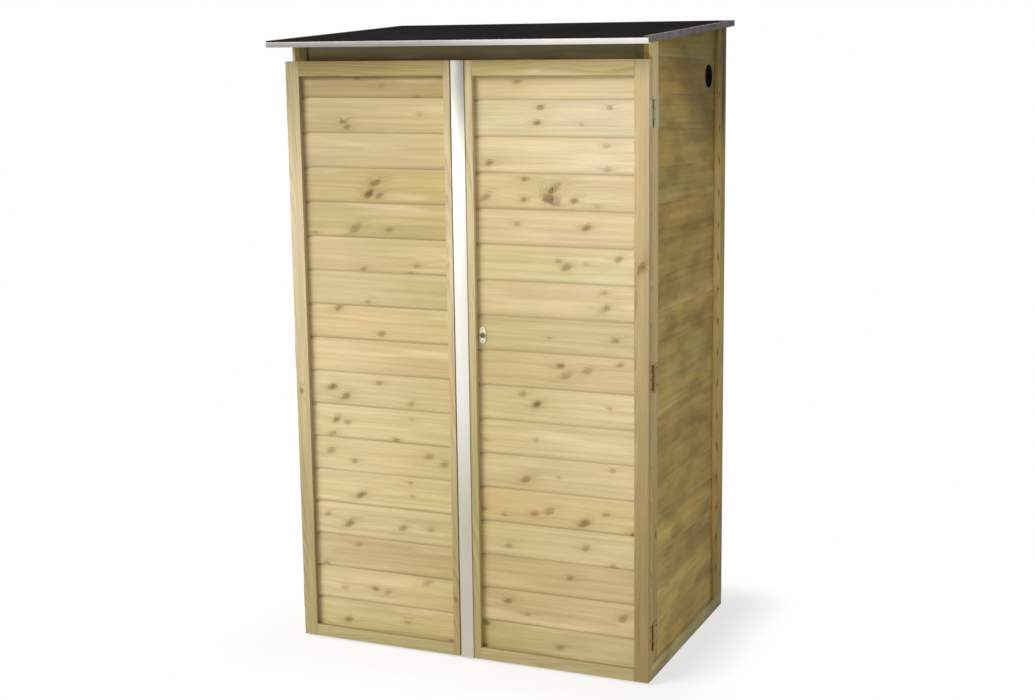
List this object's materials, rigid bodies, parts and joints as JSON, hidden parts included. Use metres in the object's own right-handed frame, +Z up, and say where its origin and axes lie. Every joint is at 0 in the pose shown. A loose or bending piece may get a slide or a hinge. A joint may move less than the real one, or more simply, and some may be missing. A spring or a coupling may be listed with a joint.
{
  "type": "tool shed",
  "caption": "Narrow timber tool shed with a pent roof, horizontal boarding and two hinged doors behind a metal cover strip.",
  "frame": {"origin": "on the ground under the middle of the roof's plan", "axes": "+Z up, -Y out of the doors, +X to the right seen from the front"},
  "size_m": [1.204, 0.8038, 1.9399],
  "materials": {
    "door_boards": "planed treated pine, satin",
    "door_frames": "planed treated pine, satin",
    "wall_boards": "planed treated pine, satin",
    "wall_battens": "planed treated pine, satin",
    "inner_timber": "sawn treated pine, matt",
    "plain_boards": "sawn treated pine, matt",
    "hinge_metal": "zinc plated, satin",
    "bright_strip": "mill finish, satin",
    "grey_strip": "mill finish, satin",
    "roof_felt": "mineral bitumen felt, matt",
    "lock_metal": "nickel plated, satin"
  },
  "bodies": {
    "shed": {"side_sills": "wall_battens", "front_sill": "inner_timber", "back_sill": "inner_timber", "floor_bearers": "inner_timber", "floor_boards": "plain_boards", "left_wall": "wall_boards", "right_wall": "wall_boards", "back_wall": "wall_boards", "front_battens": "wall_battens", "rear_battens": "wall_battens", "front_posts": "inner_timber", "rear_posts": "inner_timber", "back_frame_posts": "wall_battens", "front_rail": "inner_timber", "back_rail": "inner_timber", "side_top_rails": "inner_timber", "roof_bearer": "inner_timber", "roof_boards": "plain_boards", "roof_felt": "roof_felt", "front_roof_strip": "bright_strip", "side_roof_strips": "grey_strip", "back_roof_strip": "roof_felt", "left_frame_leaves": "hinge_metal", "right_frame_leaves": "hinge_metal", "left_hinge_pins": "hinge_metal", "right_hinge_pins": "hinge_metal"},
    "left_door": {"left_door_boards": "door_boards", "left_door_stiles": "door_frames", "left_door_rails": "door_frames", "left_door_ledges": "inner_timber", "left_door_leaves": "hinge_metal"},
    "right_door": {"right_door_boards": "door_boards", "right_door_stiles": "door_frames", "right_door_rails": "door_frames", "right_door_ledges": "inner_timber", "right_door_leaves": "hinge_metal", "cover_strip": "bright_strip", "lock_plate": "lock_metal", "lock_cylinder": "lock_metal"}
  },
  "joints": [
    {"name": "left_door_hinge", "type": "hinge", "parent": "shed", "child": "left_door", "pos_m": [-0.5875, -0.3065, 0.905], "axis": [0, 0, -1], "range_deg": [0, 180]},
    {"name": "right_door_hinge", "type": "hinge", "parent": "shed", "child": "right_door", "pos_m": [0.5875, -0.3065, 0.905], "axis": [0, 0, 1], "range_deg": [0, 180]}
  ]
}
